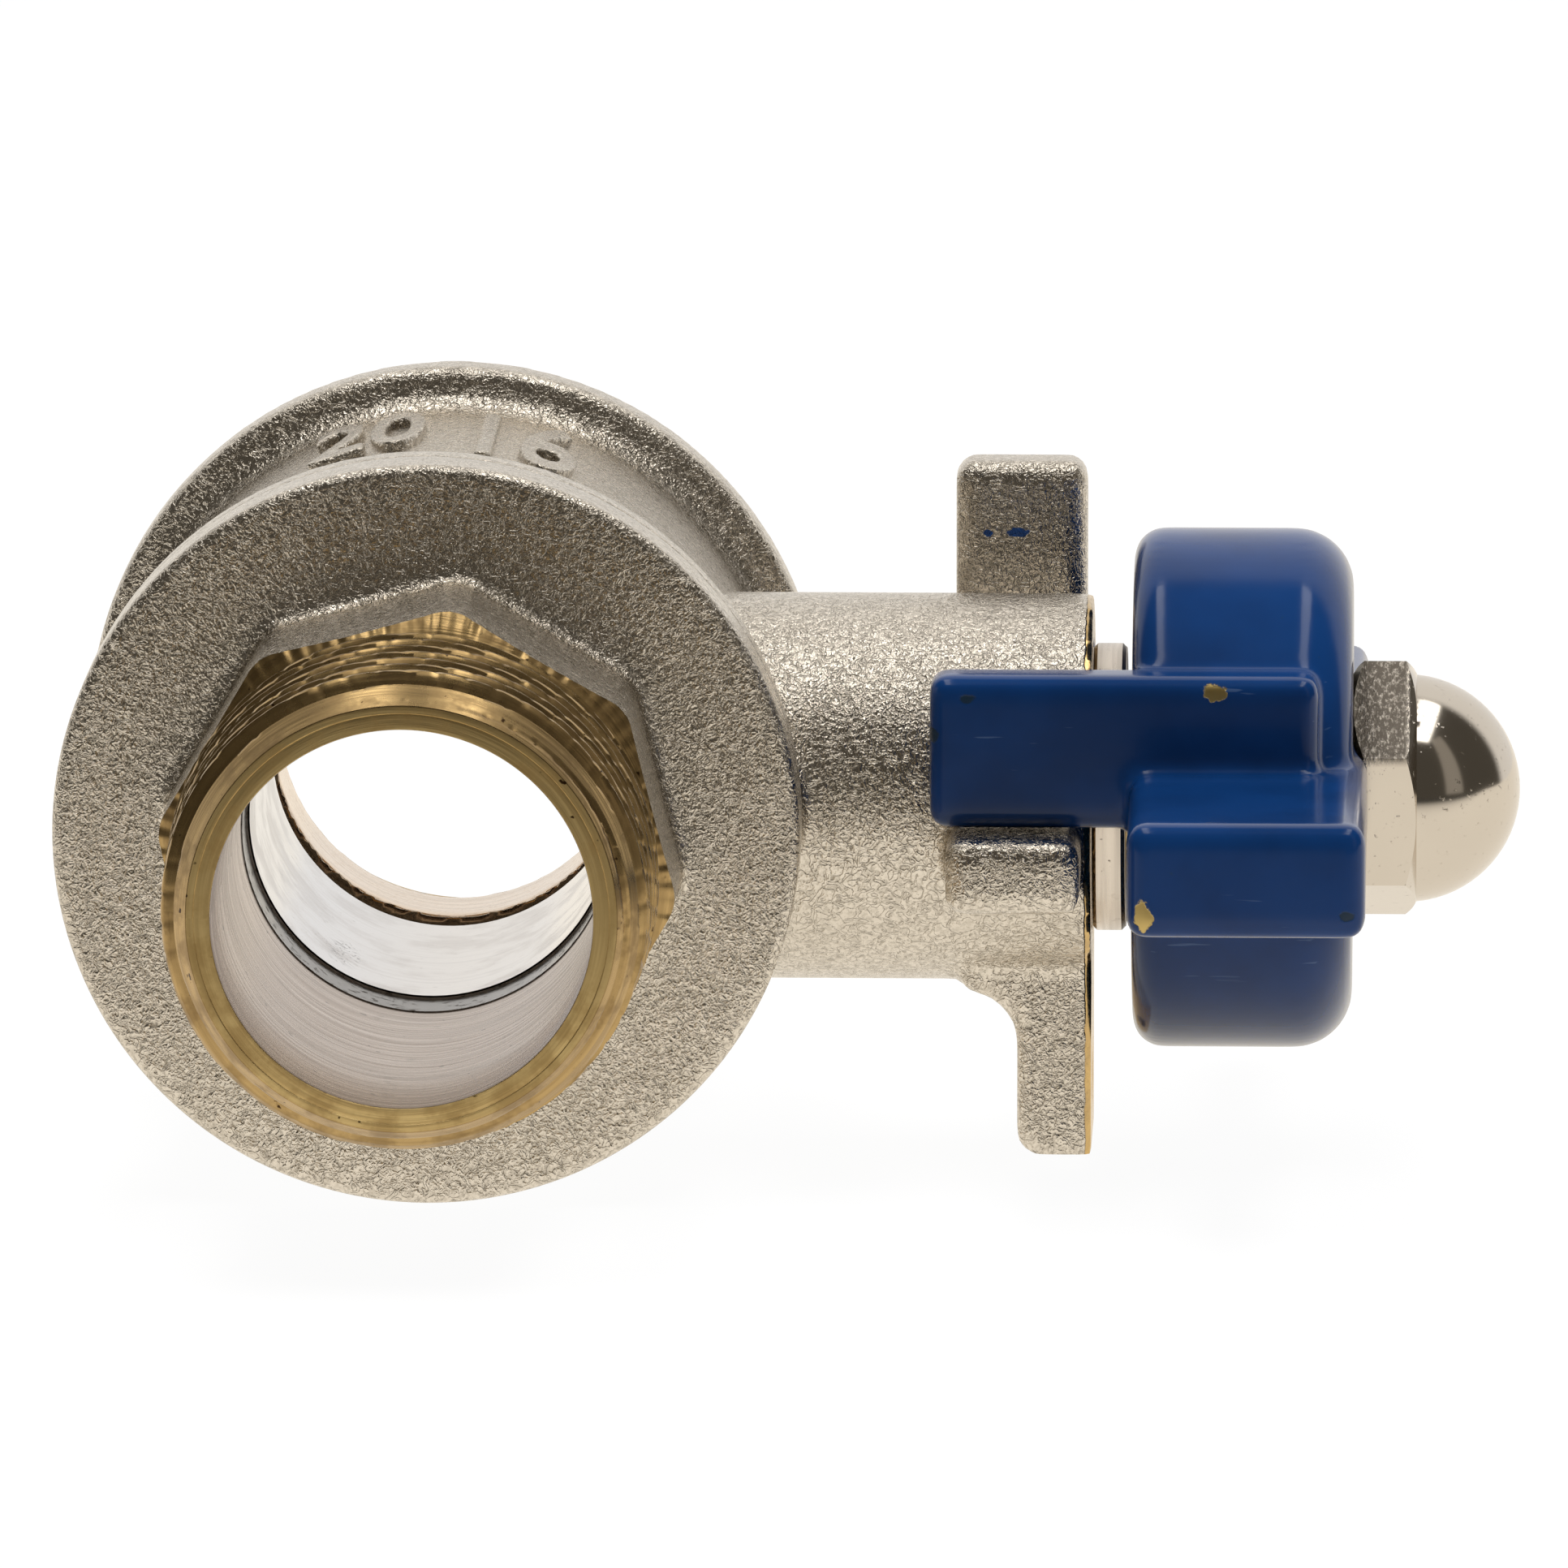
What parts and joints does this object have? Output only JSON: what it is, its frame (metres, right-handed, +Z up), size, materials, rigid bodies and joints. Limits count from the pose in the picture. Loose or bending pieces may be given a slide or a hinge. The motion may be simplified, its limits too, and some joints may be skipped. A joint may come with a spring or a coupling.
{
  "type": "water shutoff valve",
  "caption": "Nickel-plated brass ball valve for water with a male and a female threaded end, a blue butterfly handle, quarter-turn stops and a lug for a lock.",
  "frame": {"origin": "centre of the ball, where the flow way and the stem's axis cross", "axes": "+X along the stem towards the handle, -Y out of the male end along the flow, +Z up as the valve lies on its rims"},
  "size_m": [0.0822, 0.0802, 0.0422],
  "materials": {
    "nickel_casting": "nickel plating over grained forged brass",
    "nickel_machined_end": "grained nickel plating with bare turned brass at the thread",
    "seal_rubber": "matt black nitrile rubber",
    "seat_ptfe": "white low-friction plastic",
    "ball_chrome": "bright chromed brass",
    "stem_brass": "turned brass",
    "gland_nickel": "turned and nickel plated",
    "handle_blue_enamel": "glossy blue enamel over a metal casting, chipped at the edges",
    "washer_steel": "zinc-plated steel",
    "nut_nickel": "polished nickel plating"
  },
  "bodies": {
    "valve_body": {"body": "nickel_casting", "end_adapter": "nickel_machined_end", "adapter_seal_ring": "seal_rubber", "front_seat_ring": "seat_ptfe", "rear_seat_ring": "seat_ptfe", "stem_thrust_washer": "seat_ptfe", "packing_ring_1": "seat_ptfe", "packing_ring_2": "seat_ptfe", "gland_nut": "gland_nickel"},
    "turning_set": {"handle": "handle_blue_enamel", "handle_lock_washer": "washer_steel", "cap_nut": "nut_nickel", "stem": "stem_brass", "ball": "ball_chrome", "stem_oring_inner": "seal_rubber", "stem_oring_outer": "seal_rubber"}
  },
  "joints": [
    {"name": "handle_turn", "type": "hinge", "parent": "valve_body", "child": "turning_set", "pos_m": [0, 0, 0], "axis": [-1, 0, 0], "range_deg": [0, 90]}
  ]
}
